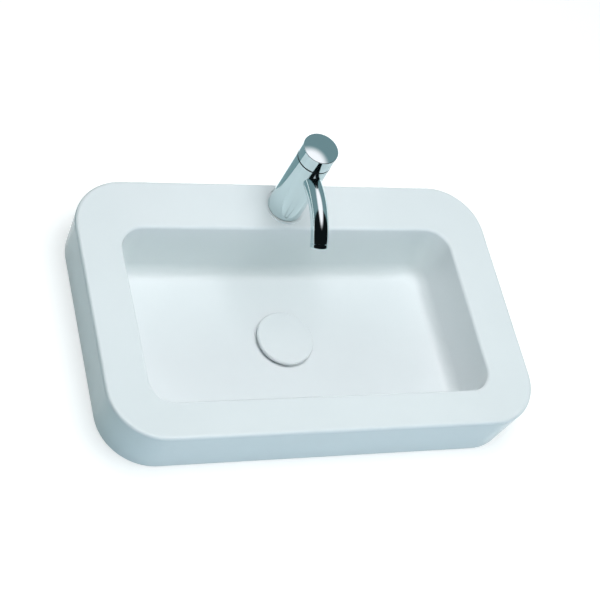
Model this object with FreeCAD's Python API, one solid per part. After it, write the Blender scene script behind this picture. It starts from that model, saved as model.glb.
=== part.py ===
import FreeCAD, Part
import math
import os

from FreeCAD import Placement, Rotation, Vector

# A countertop basin with a one-hole mixer tap and a push-open waste.
# Lengths are millimetres and angles are degrees. The origin is the middle of the basin's foot,
# level with the counter's top. +X is the user's right, +Y is towards the wall behind, +Z is up.

# Clearances that the fits share
running_clearance = 0.05     # round a shaft that turns or slides
thread_clearance = 0.1       # round a screwed joint
seat_clearance = 0.3         # between two pieces that only nearly meet
loose_clearance = 0.8        # round a piece that drops into a recess

# Basin
basin_width = 600.0
basin_depth = 375.0
basin_height = 80.0          # of the apron, above the counter
side_lean = 5.0              # how far each end draws in from the rim to the base
face_lean = 0.2              # how far the front and the back draw in
corner_radius = 72.0
rim_fall = 6.5               # how far the rim slopes down from its outer edge to the bowl
rim_round = 4.0
base_round = 4.0
rim_thickness = 14.0
ceramic_wall = 9.0

# Bowl
side_rim = 59.0              # from the basin's side to the bowl's opening
front_rim = 53.5
back_rim = 68.5              # the ledge that the tap stands on
opening_corner = 32.0
opening_round = 4.0
bowl_depth = 105.5           # from the rim's outer edge down to the drain, below the counter
floor_fall = 8.0             # how far the floor dips from the front wall to the drain
long_wall_lean = 10.0
short_wall_lean = 3.0
floor_round = 18.0

# Waste
drain_y = 0.0
drain_hole_radius = 22.5
flange_radius = 33.0
flange_thickness = 2.5
flange_seal_thickness = 1.5
waste_thread_radius = 20.955  # G 1 1/4 pipe thread
waste_bore_radius = 17.5
waste_tail_length = 56.5     # below the hub
mouth_chamfer = 2.5
tail_chamfer = 1.0
tail_groove_width = 2.0      # run-out between the locknut's thread and the trap's
tail_groove_depth = 1.2
tail_groove_gap = 1.5        # below the locknut
hub_radius = 38.0
hub_boss = 4.0               # how far the hub stands below the bowl's floor
clamp_radius = 33.0          # of the rings under the hub
hub_seal_thickness = 6.0
slip_washer_thickness = 2.0
locknut_height = 12.0
locknut_flats = 60.0
spider_depth = 17.0          # from the flange's top to the spider
spider_height = 10.0
spider_hub_wall = 3.5
spider_arm_width = 3.0
spider_arms = 3

# Plug
plug_travel = 4.0
cover_radius = 40.5
cover_thickness = 5.5
cover_top_round = 2.5
cover_bottom_round = 1.0
plug_seal_thickness = 1.5
plug_seal_width = 6.5
carrier_radius = 28.0
carrier_thickness = 2.0
boss_radius = 7.0
boss_length = 9.0
stem_radius = 4.0
stem_thread_radius = 3.0
stem_thread_length = 6.0
stem_guide = 19.0            # length of stem inside its housing when the plug is up
click_housing_wall = 2.4
click_housing_floor = 2.0
click_spring_length = 16.0
click_spring_wire = 1.0
click_spring_turns = 6

# Tap body
tap_height = 135.0           # from the ledge to the edge of the handle cap's domed top
tap_base_radius = 25.0
tap_taper = 1.0              # how much slimmer the body is at its top
handle_height = 21.0
handle_gap = 2.4             # the groove under the handle cap
tap_hole_radius = 17.5
tap_pad_margin = 2.5         # of the level pad round the tap's foot
base_seal_thickness = 1.0
base_seal_width = 6.0
tap_foot_wall = 6.5          # round the hollow in the foot
foot_hollow_height = 30.0
tap_wall = 4.0               # round the cartridge nut's thread
thread_step = 1.0            # from that thread in to the cartridge's chamber
chamber_gap = 1.5            # for the water round the cartridge
nut_depth = 4.2              # from the body's top down to the cartridge nut

# Cartridge
cartridge_height = 36.0
cartridge_base = 4.0
cartridge_wall = 2.5
cartridge_roof = 6.0
cartridge_neck_height = 10.0
cartridge_neck_radius = 8.0
cartridge_window_width = 8.0
cartridge_window_height = 10.0
cartridge_windows = 4
cartridge_seal_section = 1.2
disc_thickness = 4.0
disc_film = 0.05             # between the two lapped discs
port_radius = 3.5
port_offset = 8.0
spindle_radius = 4.0
spindle_flange_radius = 10.0
spindle_flange_height = 4.0
spindle_flat = 0.8           # depth of the flat that drives the handle
spindle_engage = 2.0         # of the spindle into the plate of the handle's insert
stem_ring_depth = 1.0
stem_ring_height = 2.0
cartridge_nut_height = 8.0

# Handle
handle_wall = 2.5
handle_roof = 3.0
handle_edge_round = 0.8
handle_crown = 3.5           # rise of the domed top above its edge
handle_insert_height = 6.0
handle_hub_radius = 8.0
slip_ring_inset = 1.5
slip_ring_lip = 3.0
grub_radius = 2.0
grub_length = 6.0
grub_key_radius = 1.0
grub_key_depth = 2.0

# Spout
spout_drop = 29.1            # from the body's top down to the curve's start on the tap's axis
spout_curve = 92.5
spout_rise_angle = 24.0
spout_fall_angle = 43.0
spout_root_radius = 12.4
spout_tip_radius = 11.7
spout_bore_radius = 7.0
spout_saddle_depth = 1.8

# Aerator, in the tip of the spout
aerator_ring_length = 6.0
aerator_groove = 1.0
aerator_edge_round = 2.0
aerator_thread_radius = 9.25
aerator_thread_length = 6.0
aerator_bore_radius = 7.2
aerator_lip = 0.8
aerator_seal_thickness = 1.2
aerator_screen_thickness = 1.0
aerator_hole_radius = 0.7
aerator_hole_step = 2.2
aerator_hole_rings = 2
aerator_inner_holes = 6      # in the inner ring, and as many more in each ring round it

# Fixing under the ledge
stud_radius = 4.0
stud_offset = 9.0            # behind the tap's axis
stud_grip = 10.0             # of the stud in the tap's foot
stud_tail = 8.0              # of the stud past its nut
horseshoe_gap = 0.8          # from the horseshoes to the apron
horseshoe_web = 4.5          # between the stud and the slot
gasket_thickness = 3.0
washer_thickness = 2.5
horseshoe_slot = 27.0
fixing_nut_height = 6.5
fixing_nut_flats = 13.0
inlet_radius = 4.5           # wall of the M10 x 1 inlets
inlet_depth = 14.0
inlet_offset = 8.0
inlet_setback = 5.0          # in front of the tap's axis

# Levels and places that follow from the sizes above
overrun = 5.0                # how far a large cutting tool passes the face that it cuts
margin = 1.0                 # how far a small one does
rim_overreach = 0.2          # share of the rim's width that its slope's cutter passes each edge
dish_reach = 1.3             # size of the floor's patch, as a share of the bowl's
hex_sides = 6
full_turn = 360.0
level_tolerance = 0.01
rim_z = basin_height
mouth_z = rim_z - rim_fall
ledge_z = (rim_z + mouth_z) / 2          # the tap stands half way down the rear rim
ledge_under_z = ledge_z - rim_thickness
opening_width = basin_width - 2 * side_rim
opening_depth = basin_depth - front_rim - back_rim
opening_y = (front_rim - back_rim) / 2
tap_y = (basin_depth - back_rim) / 2
drain_z = rim_z - bowl_depth
hub_z = drain_z - ceramic_wall - hub_boss
floor_z = drain_z + floor_fall           # beside the front wall
wall_height = mouth_z - floor_z
dish_half_width = opening_width / 2 - short_wall_lean
dish_half_depth = opening_depth / 2 - long_wall_lean + abs(drain_y - opening_y)
drain = Vector(0, drain_y, 0)
tap = Vector(0, tap_y, 0)
up = Vector(0, 0, 1)


def cylinder(radius, bottom, top, axis=drain):
    """A round bar about a vertical axis, between two levels."""
    return Part.makeCylinder(radius, top - bottom, Vector(axis.x, axis.y, bottom))


def ring(outer, inner, bottom, top, axis=drain):
    """A bar with a round bore, between two levels."""
    return cylinder(outer, bottom, top, axis).cut(cylinder(inner, bottom - margin, top + margin, axis))


def hexagon(flats, bottom, top, axis):
    """A hexagonal bar, given across its flats."""
    radius = flats / 2 / math.cos(math.pi / hex_sides)
    points = []
    for side in range(hex_sides + 1):
        angle = math.radians(full_turn * side / hex_sides)
        points.append(Vector(axis.x + radius * math.cos(angle), axis.y + radius * math.sin(angle), bottom))
    return Part.Face(Part.makePolygon(points)).extrude(Vector(0, 0, top - bottom))


def box(low, high):
    """A block between two opposite corners."""
    size = high - low
    return Part.makeBox(size.x, size.y, size.z, low)


def torus(ring_radius, section_radius, z, axis):
    """A round ring lying flat."""
    return Part.makeTorus(ring_radius, section_radius, Vector(axis.x, axis.y, z))


def plan(width, depth, radius, centre_y, z):
    """A closed outline, level at z: a rectangle with round corners."""
    x = width / 2
    y = depth / 2
    edges = []
    corners = ((x, -y, -90), (x, y, 0), (-x, y, 90), (-x, -y, 180))
    starts = []
    ends = []
    arcs = []
    for corner_x, corner_y, first_angle in corners:
        middle = Vector(corner_x - math.copysign(radius, corner_x),
                        centre_y + corner_y - math.copysign(radius, corner_y), z)
        circle = Part.Circle(middle, up, radius)
        first = math.radians(first_angle)
        arc = Part.ArcOfCircle(circle, first, first + math.pi / 2)
        arcs.append(arc.toShape())
        starts.append(arc.StartPoint)
        ends.append(arc.EndPoint)
    for index, arc in enumerate(arcs):
        edges.append(arc)
        edges.append(Part.makeLine(ends[index], starts[(index + 1) % len(arcs)]))
    return Part.Wire(edges)


def level_edges(shape, z):
    """The edges of a shape that lie level at z."""
    found = []
    for edge in shape.Edges:
        bounds = edge.BoundBox
        if abs(bounds.ZMin - z) < level_tolerance and abs(bounds.ZMax - z) < level_tolerance:
            found.append(edge)
    return found


def outer_edge(shape, z):
    """The longest edge of a shape that lies level at z, in a list."""
    return [max(level_edges(shape, z), key=lambda edge: edge.Length)]


def rim_edge_loss(lean):
    """How far the rim's round edge ends inside the sharp edge that it replaces, above a leaning side."""
    angle = math.atan(lean / basin_height)
    return rim_round * (math.tan(angle) + 1 / math.cos(angle) - 1)


sharp_width = basin_width + 2 * rim_edge_loss(side_lean)
sharp_depth = basin_depth + 2 * rim_edge_loss(face_lean)


def apron_plan(z, inset):
    """The basin's outside at a level, drawn in by a wall. The rim's round edge ends at the full width."""
    share = (rim_z - z) / basin_height
    width = sharp_width - 2 * (side_lean * share + inset)
    depth = sharp_depth - 2 * (face_lean * share + inset)
    return plan(width, depth, corner_radius - inset, 0, z)


def bowl_plan(z, grow):
    """The bowl's inside at a level, grown by a wall."""
    share = (mouth_z - z) / wall_height
    width = opening_width - 2 * short_wall_lean * share + 2 * grow
    depth = opening_depth - 2 * long_wall_lean * share + 2 * grow
    return plan(width, depth, opening_corner + grow, opening_y, z)


def rim_plan(share):
    """The sloping rim at a share of its width, from the bowl's mouth to the basin's outside."""
    width = opening_width + (sharp_width - opening_width) * share
    depth = opening_depth + (sharp_depth - opening_depth) * share
    radius = opening_corner + (corner_radius - opening_corner) * share
    return plan(width, depth, radius, opening_y * (1 - share), mouth_z + rim_fall * share)


def above_dish(drop):
    """The space above the dished floor, lowered by drop.

    The floor is a smooth patch, parabolic both ways, lowest at the drain and level along the walls.
    """
    end = 1 - dish_reach * dish_reach
    weights = (end, 2 - end, end)
    patch = Part.BezierSurface()
    patch.increase(2, 2)
    for row, across in enumerate(weights):
        for column, along in enumerate(weights):
            x = (row - 1) * dish_reach * dish_half_width
            y = drain_y + (column - 1) * dish_reach * dish_half_depth
            z = floor_z - drop - floor_fall * across * along
            patch.setPole(row + 1, column + 1, Vector(x, y, z))
    return patch.toShape().extrude(Vector(0, 0, 2 * basin_height))


def bowl_block(grow, drop, round_radius):
    """The bowl as a solid: its inside, or its outside when grown by the wall."""
    top = bowl_plan(mouth_z + rim_fall, grow)
    bottom = bowl_plan(drain_z - drop - overrun, grow)
    walls = Part.makeLoft([top, bottom], True, True)
    block = walls.common(above_dish(drop)).Solids[0]
    floor = min(block.Faces, key=lambda face: face.CenterOfMass.z)
    return block.makeFillet(round_radius, floor.Edges)


def make_basin():
    """The ceramic body: apron, rim that slopes to the bowl, hollow underside, and a bowl that sinks lower."""
    top_z = rim_z + rim_fall * rim_overreach / 2
    body = Part.makeLoft([apron_plan(0, 0), apron_plan(top_z, 0)], True, True)
    body = body.makeFillet(base_round, level_edges(body, 0))
    body = body.cut(Part.makeLoft([rim_plan(-rim_overreach), rim_plan(1 + rim_overreach)], True, True))
    body = body.cut(Part.makeLoft([apron_plan(-overrun, ceramic_wall), apron_plan(ledge_under_z, ceramic_wall)],
                                  True, True))
    shell = bowl_block(ceramic_wall, ceramic_wall, floor_round + ceramic_wall)
    shell_top = Vector(basin_width, basin_depth, ledge_under_z + overrun)
    shell = shell.common(box(Vector(-basin_width, -basin_depth, -basin_depth), shell_top))
    body = body.fuse(shell)
    body = body.cut(bowl_block(0, 0, floor_round))
    body = body.makeFillet(rim_round, level_edges(body, rim_z))
    body = body.makeFillet(opening_round, level_edges(body, mouth_z))
    pad_radius = tap_base_radius + tap_pad_margin
    body = body.cut(cylinder(pad_radius, ledge_z, rim_z + overrun, tap))
    body = body.fuse(cylinder(pad_radius, ledge_under_z, ledge_z, tap))
    body = body.cut(cylinder(tap_hole_radius, ledge_under_z - overrun, rim_z + overrun, tap))
    body = body.fuse(cylinder(hub_radius, hub_z, flange_seat_z))
    body = body.cut(cylinder(drain_hole_radius, hub_z - overrun, drain_z + overrun))
    body = body.cut(cylinder(flange_radius + loose_clearance, flange_seat_z, drain_z + overrun))
    return body.removeSplitter()


# Levels of the waste and the plug, with the plug up as in the photo
flange_z = drain_z                       # the flange's top is flush with the floor
flange_under_z = flange_z - flange_thickness
flange_seat_z = flange_under_z - flange_seal_thickness
hub_seal_z = hub_z - hub_seal_thickness
slip_washer_z = hub_seal_z - slip_washer_thickness
locknut_z = slip_washer_z - locknut_height
tail_z = hub_z - waste_tail_length
spider_top_z = flange_z - spider_depth
spider_z = spider_top_z - spider_height
plug_seal_z = flange_z + seat_clearance + plug_travel
carrier_z = plug_seal_z + plug_seal_thickness
carrier_top_z = carrier_z + carrier_thickness
boss_z = carrier_z - boss_length
cover_rise = floor_fall * (cover_radius / dish_half_depth) ** 2
cover_z = drain_z + cover_rise + seat_clearance + plug_travel
click_housing_top_z = boss_z - plug_travel - loose_clearance
stem_z = click_housing_top_z - stem_guide
click_bore_z = stem_z - click_spring_length
click_housing_radius = stem_radius + running_clearance + click_housing_wall


def make_waste_body():
    """Flange and threaded tail in one, with a spider across the bore."""
    body = cylinder(flange_radius, flange_under_z, flange_z)
    body = body.fuse(cylinder(waste_thread_radius, tail_z, flange_z))
    body = body.cut(cylinder(waste_bore_radius, tail_z - margin, flange_z + margin))
    mouth = Part.makeCone(waste_bore_radius, waste_bore_radius + mouth_chamfer, mouth_chamfer,
                          drain + Vector(0, 0, flange_z - mouth_chamfer))
    body = body.cut(mouth)
    body = body.makeChamfer(tail_chamfer, outer_edge(body, tail_z))
    groove_z = locknut_z - tail_groove_gap
    body = body.cut(ring(waste_thread_radius + margin, waste_thread_radius - tail_groove_depth,
                         groove_z - tail_groove_width, groove_z))
    spider_bore = click_housing_radius + thread_clearance
    spider = cylinder(spider_bore + spider_hub_wall, spider_z, spider_top_z)
    reach = (waste_bore_radius + waste_thread_radius) / 2
    for arm in range(spider_arms):
        bar = box(Vector(0, drain_y - spider_arm_width / 2, spider_z),
                  Vector(reach, drain_y + spider_arm_width / 2, spider_top_z))
        bar.rotate(drain, up, full_turn * arm / spider_arms)
        spider = spider.fuse(bar)
    spider = spider.cut(cylinder(spider_bore, spider_z - margin, spider_top_z + margin))
    return body.fuse(spider).removeSplitter()


def make_click_housing():
    """A cup screwed into the spider, with a collar that stands on it."""
    cup = cylinder(click_housing_radius, click_bore_z - click_housing_floor, click_housing_top_z)
    collar = cylinder(click_housing_radius + spider_hub_wall, spider_top_z, spider_top_z + spider_arm_width)
    cup = cup.fuse(collar)
    return cup.cut(cylinder(stem_radius + running_clearance, click_bore_z, click_housing_top_z + margin))


def make_click_stem():
    """The sliding stem, with a thread at its top for the carrier's boss."""
    shank = cylinder(stem_radius, stem_z, boss_z)
    thread = cylinder(stem_thread_radius, boss_z, boss_z + stem_thread_length)
    return shank.fuse(thread).removeSplitter()


def make_click_spring():
    """The coil spring under the stem, with its ends ground flat."""
    coil_radius = stem_radius - running_clearance - click_spring_wire / 2
    pitch = click_spring_length / click_spring_turns
    coil = Part.makeHelix(pitch, click_spring_length, coil_radius)
    climb = Vector(0, 2 * math.pi * coil_radius, pitch)
    section = Part.Wire(Part.makeCircle(click_spring_wire / 2, Vector(coil_radius, 0, 0), climb))
    spring = Part.Wire(coil).makePipeShell([section], True, False)
    spring.translate(drain + Vector(0, 0, click_bore_z))
    return spring.common(cylinder(stem_radius, click_bore_z, stem_z)).Solids[0]


def make_plug_carrier():
    """The plate under the cover, with a threaded boss for the stem."""
    plate = cylinder(carrier_radius, carrier_z, carrier_top_z)
    plate = plate.fuse(cylinder(boss_radius, boss_z, carrier_z))
    bore = cylinder(stem_thread_radius + thread_clearance, boss_z - margin, boss_z + stem_thread_length)
    return plate.cut(bore).removeSplitter()


def make_plug_cover():
    """The round ceramic cover, hollowed underneath for the carrier and its seal."""
    disc = cylinder(cover_radius, cover_z, cover_z + cover_thickness)
    disc = disc.makeFillet(cover_top_round, level_edges(disc, cover_z + cover_thickness))
    disc = disc.makeFillet(cover_bottom_round, level_edges(disc, cover_z))
    return disc.cut(cylinder(carrier_radius + seat_clearance, cover_z - margin, carrier_top_z))


def waste_nodes():
    """Every piece on the drain's axis."""
    clamp_bore = waste_thread_radius + thread_clearance
    nut = hexagon(locknut_flats, locknut_z, slip_washer_z, drain)
    return {
        "waste_body": make_waste_body(),
        "flange_seal": ring(flange_radius, drain_hole_radius, flange_seat_z, flange_under_z),
        "hub_seal": ring(clamp_radius, clamp_bore, hub_seal_z, hub_z),
        "slip_washer": ring(clamp_radius, clamp_bore, slip_washer_z, hub_seal_z),
        "waste_locknut": nut.cut(cylinder(clamp_bore, locknut_z - margin, slip_washer_z + margin)),
        "click_housing": make_click_housing(),
        "click_stem": make_click_stem(),
        "click_spring": make_click_spring(),
        "plug_carrier": make_plug_carrier(),
        "plug_seal": ring(carrier_radius, carrier_radius - plug_seal_width, plug_seal_z, carrier_z),
        "plug_cover": make_plug_cover(),
    }


# Levels and radii of the tap
tap_foot_z = ledge_z + base_seal_thickness
foot_roof_z = tap_foot_z + foot_hollow_height
handle_top_z = ledge_z + tap_height
handle_z = handle_top_z - handle_height
handle_roof_z = handle_top_z - handle_roof
handle_plate_z = handle_roof_z - handle_insert_height
tap_top_z = handle_z - handle_gap
cartridge_nut_top_z = tap_top_z - nut_depth
cartridge_top_z = cartridge_nut_top_z - cartridge_nut_height
cartridge_roof_z = cartridge_top_z - cartridge_roof
chamber_z = cartridge_top_z - cartridge_height
neck_top_z = cartridge_top_z + cartridge_neck_height
fixed_disc_z = chamber_z + cartridge_base
moving_disc_z = fixed_disc_z + disc_thickness + disc_film
spindle_z = moving_disc_z + disc_thickness
spindle_top_z = handle_plate_z + spindle_engage
stem_ring_z = (cartridge_top_z + neck_top_z) / 2
tap_radius = tap_base_radius - tap_taper
foot_hollow_radius = tap_base_radius - tap_foot_wall
nut_thread_radius = tap_radius - tap_wall
chamber_radius = nut_thread_radius - thread_step
cartridge_radius = chamber_radius - chamber_gap
ports = [tap + Vector(side * port_offset, 0, 0) for side in (-1, 1)]
inlets = [tap + Vector(side * inlet_offset, -inlet_setback, 0) for side in (-1, 1)]
stud = tap + Vector(0, stud_offset, 0)


def spout_point(angle):
    """The spout's centreline where it climbs at this angle, in the plane through the tap's axis."""
    climb = math.radians(angle)
    start = math.radians(spout_rise_angle)
    forward = spout_curve * (math.sin(start) - math.sin(climb))
    rise = spout_curve * (math.cos(climb) - math.cos(start))
    return Vector(0, tap_y - forward, tap_top_z - spout_drop + rise)


def spout_direction(angle):
    """The way the water runs where the spout climbs at this angle."""
    climb = math.radians(angle)
    return Vector(0, -math.cos(climb), math.sin(climb))


def spout_tube(root_radius, tip_radius):
    """A tapering bar along the spout's curve, from the tap's axis to the spout's tip."""
    middle_angle = (spout_rise_angle - spout_fall_angle) / 2
    ends = (spout_rise_angle, -spout_fall_angle)
    arc = Part.Arc(spout_point(ends[0]), spout_point(middle_angle), spout_point(ends[1])).toShape()
    sections = []
    for angle, radius in zip(ends, (root_radius, tip_radius)):
        sections.append(Part.Wire(Part.makeCircle(radius, spout_point(angle), spout_direction(angle))))
    return Part.Wire(arc).makePipeShell(sections, True, False)


def tap_saddle(depth):
    """The tap's core that the spout stops short of, as deep as its seat."""
    return cylinder(tap_radius - depth, ledge_z, handle_top_z, tap)


def make_tap_body():
    """The tapered body: hollow foot, two inlets, cartridge chamber and the seat of the spout."""
    body = Part.makeCone(tap_base_radius, tap_radius, tap_top_z - tap_foot_z,
                         tap + Vector(0, 0, tap_foot_z))
    body = body.cut(cylinder(foot_hollow_radius, tap_foot_z - margin, foot_roof_z, tap))
    body = body.cut(cylinder(chamber_radius, chamber_z, tap_top_z + margin, tap))
    body = body.cut(cylinder(nut_thread_radius, cartridge_top_z - margin, tap_top_z + margin, tap))
    for inlet, port in zip(inlets, ports):
        body = body.cut(cylinder(inlet_radius, foot_roof_z - margin, foot_roof_z + inlet_depth, inlet))
        top = foot_roof_z + inlet_depth - port_radius
        duct = Part.makeCylinder(port_radius, (port - inlet).Length + chamber_z - top,
                                 inlet + Vector(0, 0, top), port - inlet + Vector(0, 0, chamber_z - top))
        body = body.cut(duct.common(cylinder(chamber_radius, foot_roof_z, chamber_z + margin, tap)))
    stud_hole = cylinder(stud_radius + thread_clearance, foot_roof_z - margin, foot_roof_z + stud_grip, stud)
    body = body.cut(stud_hole)
    body = body.cut(spout_tube(spout_root_radius, spout_tip_radius).cut(tap_saddle(spout_saddle_depth)))
    waterway = spout_tube(spout_bore_radius, spout_bore_radius)
    return body.cut(waterway).removeSplitter()


def on_tip(shape):
    """Place a shape, made along +Z from the origin, on the spout's tip and along the water's way."""
    tip = spout_point(-spout_fall_angle)
    turn = Rotation(up, spout_direction(-spout_fall_angle))
    shape.Placement = Placement(tip, turn)
    return shape


centre = Vector(0, 0, 0)
aerator_ring_end = aerator_groove + aerator_ring_length
aerator_screen_end = aerator_ring_end - aerator_lip
aerator_insert_end = aerator_screen_end - aerator_screen_thickness
aerator_seat = aerator_thread_length + aerator_seal_thickness


def make_spout():
    """The bent tube, coped to the tap's body, with a threaded tip."""
    tube = spout_tube(spout_root_radius, spout_tip_radius)
    tube = tube.cut(spout_tube(spout_bore_radius, spout_bore_radius))
    tube = tube.cut(tap_saddle(spout_saddle_depth))
    tube = tube.Solids[0]
    socket = cylinder(aerator_thread_radius + thread_clearance, -aerator_seat, overrun, centre)
    return tube.cut(on_tip(socket))


def make_aerator_housing():
    """The ring at the spout's tip, with its threaded neck and an inner lip at the outlet."""
    neck = cylinder(aerator_thread_radius, -aerator_thread_length, aerator_groove, centre)
    collar = cylinder(spout_tip_radius, aerator_groove, aerator_ring_end, centre)
    collar = collar.makeFillet(aerator_edge_round, level_edges(collar, aerator_ring_end))
    body = neck.fuse(collar)
    bore = cylinder(aerator_bore_radius, -aerator_thread_length - margin, aerator_screen_end, centre)
    mouth = cylinder(aerator_bore_radius - aerator_lip, 0, aerator_ring_end + margin, centre)
    return on_tip(body.cut(bore).cut(mouth).removeSplitter())


def sieve(radius, bottom, top):
    """A round plate with rings of small holes."""
    plate = cylinder(radius, bottom, top, centre)
    holes = [cylinder(aerator_hole_radius, bottom - margin, top + margin, centre)]
    for number in range(1, aerator_hole_rings + 1):
        count = aerator_inner_holes * number
        for step in range(count):
            angle = math.radians(full_turn * step / count)
            place = Vector(math.cos(angle), math.sin(angle), 0) * aerator_hole_step * number
            holes.append(cylinder(aerator_hole_radius, bottom - margin, top + margin, place))
    return plate.cut(Part.Compound(holes))


def aerator_nodes():
    """The pieces in the spout's tip."""
    inner = aerator_bore_radius - thread_clearance
    seal = ring(aerator_thread_radius, spout_bore_radius, -aerator_seat, -aerator_thread_length, centre)
    insert = ring(inner, inner - aerator_lip, -aerator_thread_length, aerator_insert_end, centre)
    insert = insert.fuse(sieve(inner, -aerator_thread_length, aerator_lip - aerator_thread_length))
    return {
        "aerator_housing": make_aerator_housing(),
        "aerator_seal": on_tip(seal),
        "aerator_insert": on_tip(insert.removeSplitter()),
        "aerator_screen": on_tip(sieve(inner, aerator_insert_end, aerator_screen_end)),
    }


def make_cartridge_housing():
    """A plastic cup for the discs, with inlet ports, outlet windows and a long neck for the spindle."""
    body = cylinder(cartridge_radius, chamber_z, cartridge_top_z, tap)
    body = body.fuse(cylinder(cartridge_neck_radius, cartridge_top_z, neck_top_z, tap))
    body = body.cut(cylinder(cartridge_radius - cartridge_wall, fixed_disc_z, cartridge_roof_z, tap))
    neck_bore = spindle_radius + running_clearance
    body = body.cut(cylinder(neck_bore, cartridge_roof_z - margin, neck_top_z + margin, tap))
    for port in ports:
        body = body.cut(cylinder(port_radius, chamber_z - margin, fixed_disc_z + margin, port))
        groove = torus(port_radius + cartridge_seal_section, cartridge_seal_section, chamber_z, port)
        body = body.cut(groove)
    window_z = cartridge_roof_z - cartridge_window_height
    for number in range(cartridge_windows):
        window = box(tap + Vector(0, -cartridge_window_width / 2, window_z),
                     tap + Vector(cartridge_radius + margin, cartridge_window_width / 2, cartridge_roof_z))
        window.rotate(tap, up, full_turn * (number + 0.5) / cartridge_windows)
        body = body.cut(window)
    return body.removeSplitter()


def make_disc(bottom, top, radius):
    """A ceramic disc with a hole over each port."""
    disc = cylinder(radius, bottom, top, tap)
    for port in ports:
        disc = disc.cut(cylinder(port_radius, bottom - margin, top + margin, port))
    return disc


def make_spindle():
    """The turning spindle: a drive flange on the moving disc and a flat at the top for the handle."""
    body = cylinder(spindle_flange_radius, spindle_z, spindle_z + spindle_flange_height, tap)
    body = body.fuse(cylinder(spindle_radius, spindle_z, spindle_top_z, tap))
    body = body.cut(ring(spindle_radius + margin, spindle_radius - stem_ring_depth, stem_ring_z,
                         stem_ring_z + stem_ring_height, tap))
    flat = box(tap + Vector(-spindle_radius, spindle_radius - spindle_flat, neck_top_z),
               tap + Vector(spindle_radius, spindle_radius + margin, spindle_top_z + margin))
    return body.cut(flat).removeSplitter()


def make_stem_ring():
    """The seal in the spindle's groove."""
    return ring(spindle_radius, spindle_radius - stem_ring_depth, stem_ring_z,
                stem_ring_z + stem_ring_height, tap)


def make_cartridge_seals():
    """Half-round seals between the cartridge's ports and the chamber's floor, one at each port."""
    seals = []
    for port in ports:
        seal = torus(port_radius + cartridge_seal_section, cartridge_seal_section, chamber_z, port)
        above = cylinder(chamber_radius, chamber_z, cartridge_top_z, tap)
        seals.append(seal.common(above).Solids[0])
    return Part.Compound(seals)


def make_slip_ring():
    """The dark ring in the groove under the handle, with a lip down inside the tap's body."""
    flat = cylinder(tap_radius - slip_ring_inset, tap_top_z, handle_z - seat_clearance, tap)
    lip = cylinder(nut_thread_radius - thread_clearance, tap_top_z - slip_ring_lip, tap_top_z, tap)
    bore = cylinder(nut_thread_radius - handle_wall, tap_top_z - slip_ring_lip - margin, handle_z, tap)
    return flat.fuse(lip).cut(bore).removeSplitter()


grub_z = handle_plate_z - grub_radius - loose_clearance
grub_start = spindle_radius - spindle_flat


def grub_bar(radius, start, end):
    """A bar that points to the back of the handle, at the grub screw's level."""
    return Part.makeCylinder(radius, end - start, tap + Vector(0, start, grub_z), Vector(0, 1, 0))


def make_handle_cap():
    """The cap that is turned by hand: a cup with a domed top, and a hole at the back for the screw's key."""
    dome_radius = (tap_radius ** 2 + handle_crown ** 2) / (2 * handle_crown)
    dome_centre = tap + Vector(0, 0, handle_top_z + handle_crown - dome_radius)
    cap = cylinder(tap_radius, handle_z, handle_top_z + handle_crown, tap)
    cap = cap.common(Part.makeSphere(dome_radius, dome_centre))
    cap = cap.makeFillet(handle_edge_round, level_edges(cap, handle_top_z))
    cap = cap.cut(cylinder(tap_radius - handle_wall, handle_z - margin, handle_roof_z, tap))
    return cap.cut(grub_bar(grub_radius + loose_clearance, spindle_radius, tap_radius + margin))


def make_handle_insert():
    """The plastic hub that joins the cap to the spindle."""
    insert = cylinder(tap_radius - handle_wall - thread_clearance, handle_plate_z, handle_roof_z, tap)
    insert = insert.fuse(cylinder(handle_hub_radius, handle_z + loose_clearance, handle_plate_z, tap))
    bore = cylinder(spindle_radius + thread_clearance, handle_z - margin, spindle_top_z + seat_clearance, tap)
    insert = insert.cut(bore)
    return insert.cut(grub_bar(grub_radius + thread_clearance, 0, tap_radius)).removeSplitter()


def make_grub_screw():
    """The screw that holds the handle on the spindle's flat."""
    screw = grub_bar(grub_radius, grub_start, grub_start + grub_length)
    end = grub_start + grub_length
    return screw.cut(grub_bar(grub_key_radius, end - grub_key_depth, end + margin))


def tap_nodes():
    """Every piece of the tap above the ledge, but for the aerator."""
    seal_outer = tap_base_radius - seat_clearance
    disc_radius = cartridge_radius - cartridge_wall - seat_clearance
    fixed_disc_radius = cartridge_radius - cartridge_wall - thread_clearance
    nut = ring(nut_thread_radius - thread_clearance, cartridge_neck_radius + seat_clearance,
               cartridge_top_z, cartridge_nut_top_z, tap)
    return {
        "tap_body": make_tap_body(),
        "base_seal": ring(seal_outer, seal_outer - base_seal_width, ledge_z, tap_foot_z, tap),
        "spout": make_spout(),
        "cartridge_housing": make_cartridge_housing(),
        "cartridge_seals": make_cartridge_seals(),
        "fixed_disc": make_disc(fixed_disc_z, fixed_disc_z + disc_thickness, fixed_disc_radius),
        "moving_disc": make_disc(moving_disc_z, spindle_z, disc_radius),
        "cartridge_stem": make_spindle(),
        "stem_ring": make_stem_ring(),
        "cartridge_nut": nut,
        "slip_ring": make_slip_ring(),
        "handle_insert": make_handle_insert(),
        "handle_cap": make_handle_cap(),
        "grub_screw": make_grub_screw(),
    }


# Levels of the fixing under the ledge
gasket_z = ledge_under_z - gasket_thickness
washer_z = gasket_z - washer_thickness
fixing_nut_z = washer_z - fixing_nut_height


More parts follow.
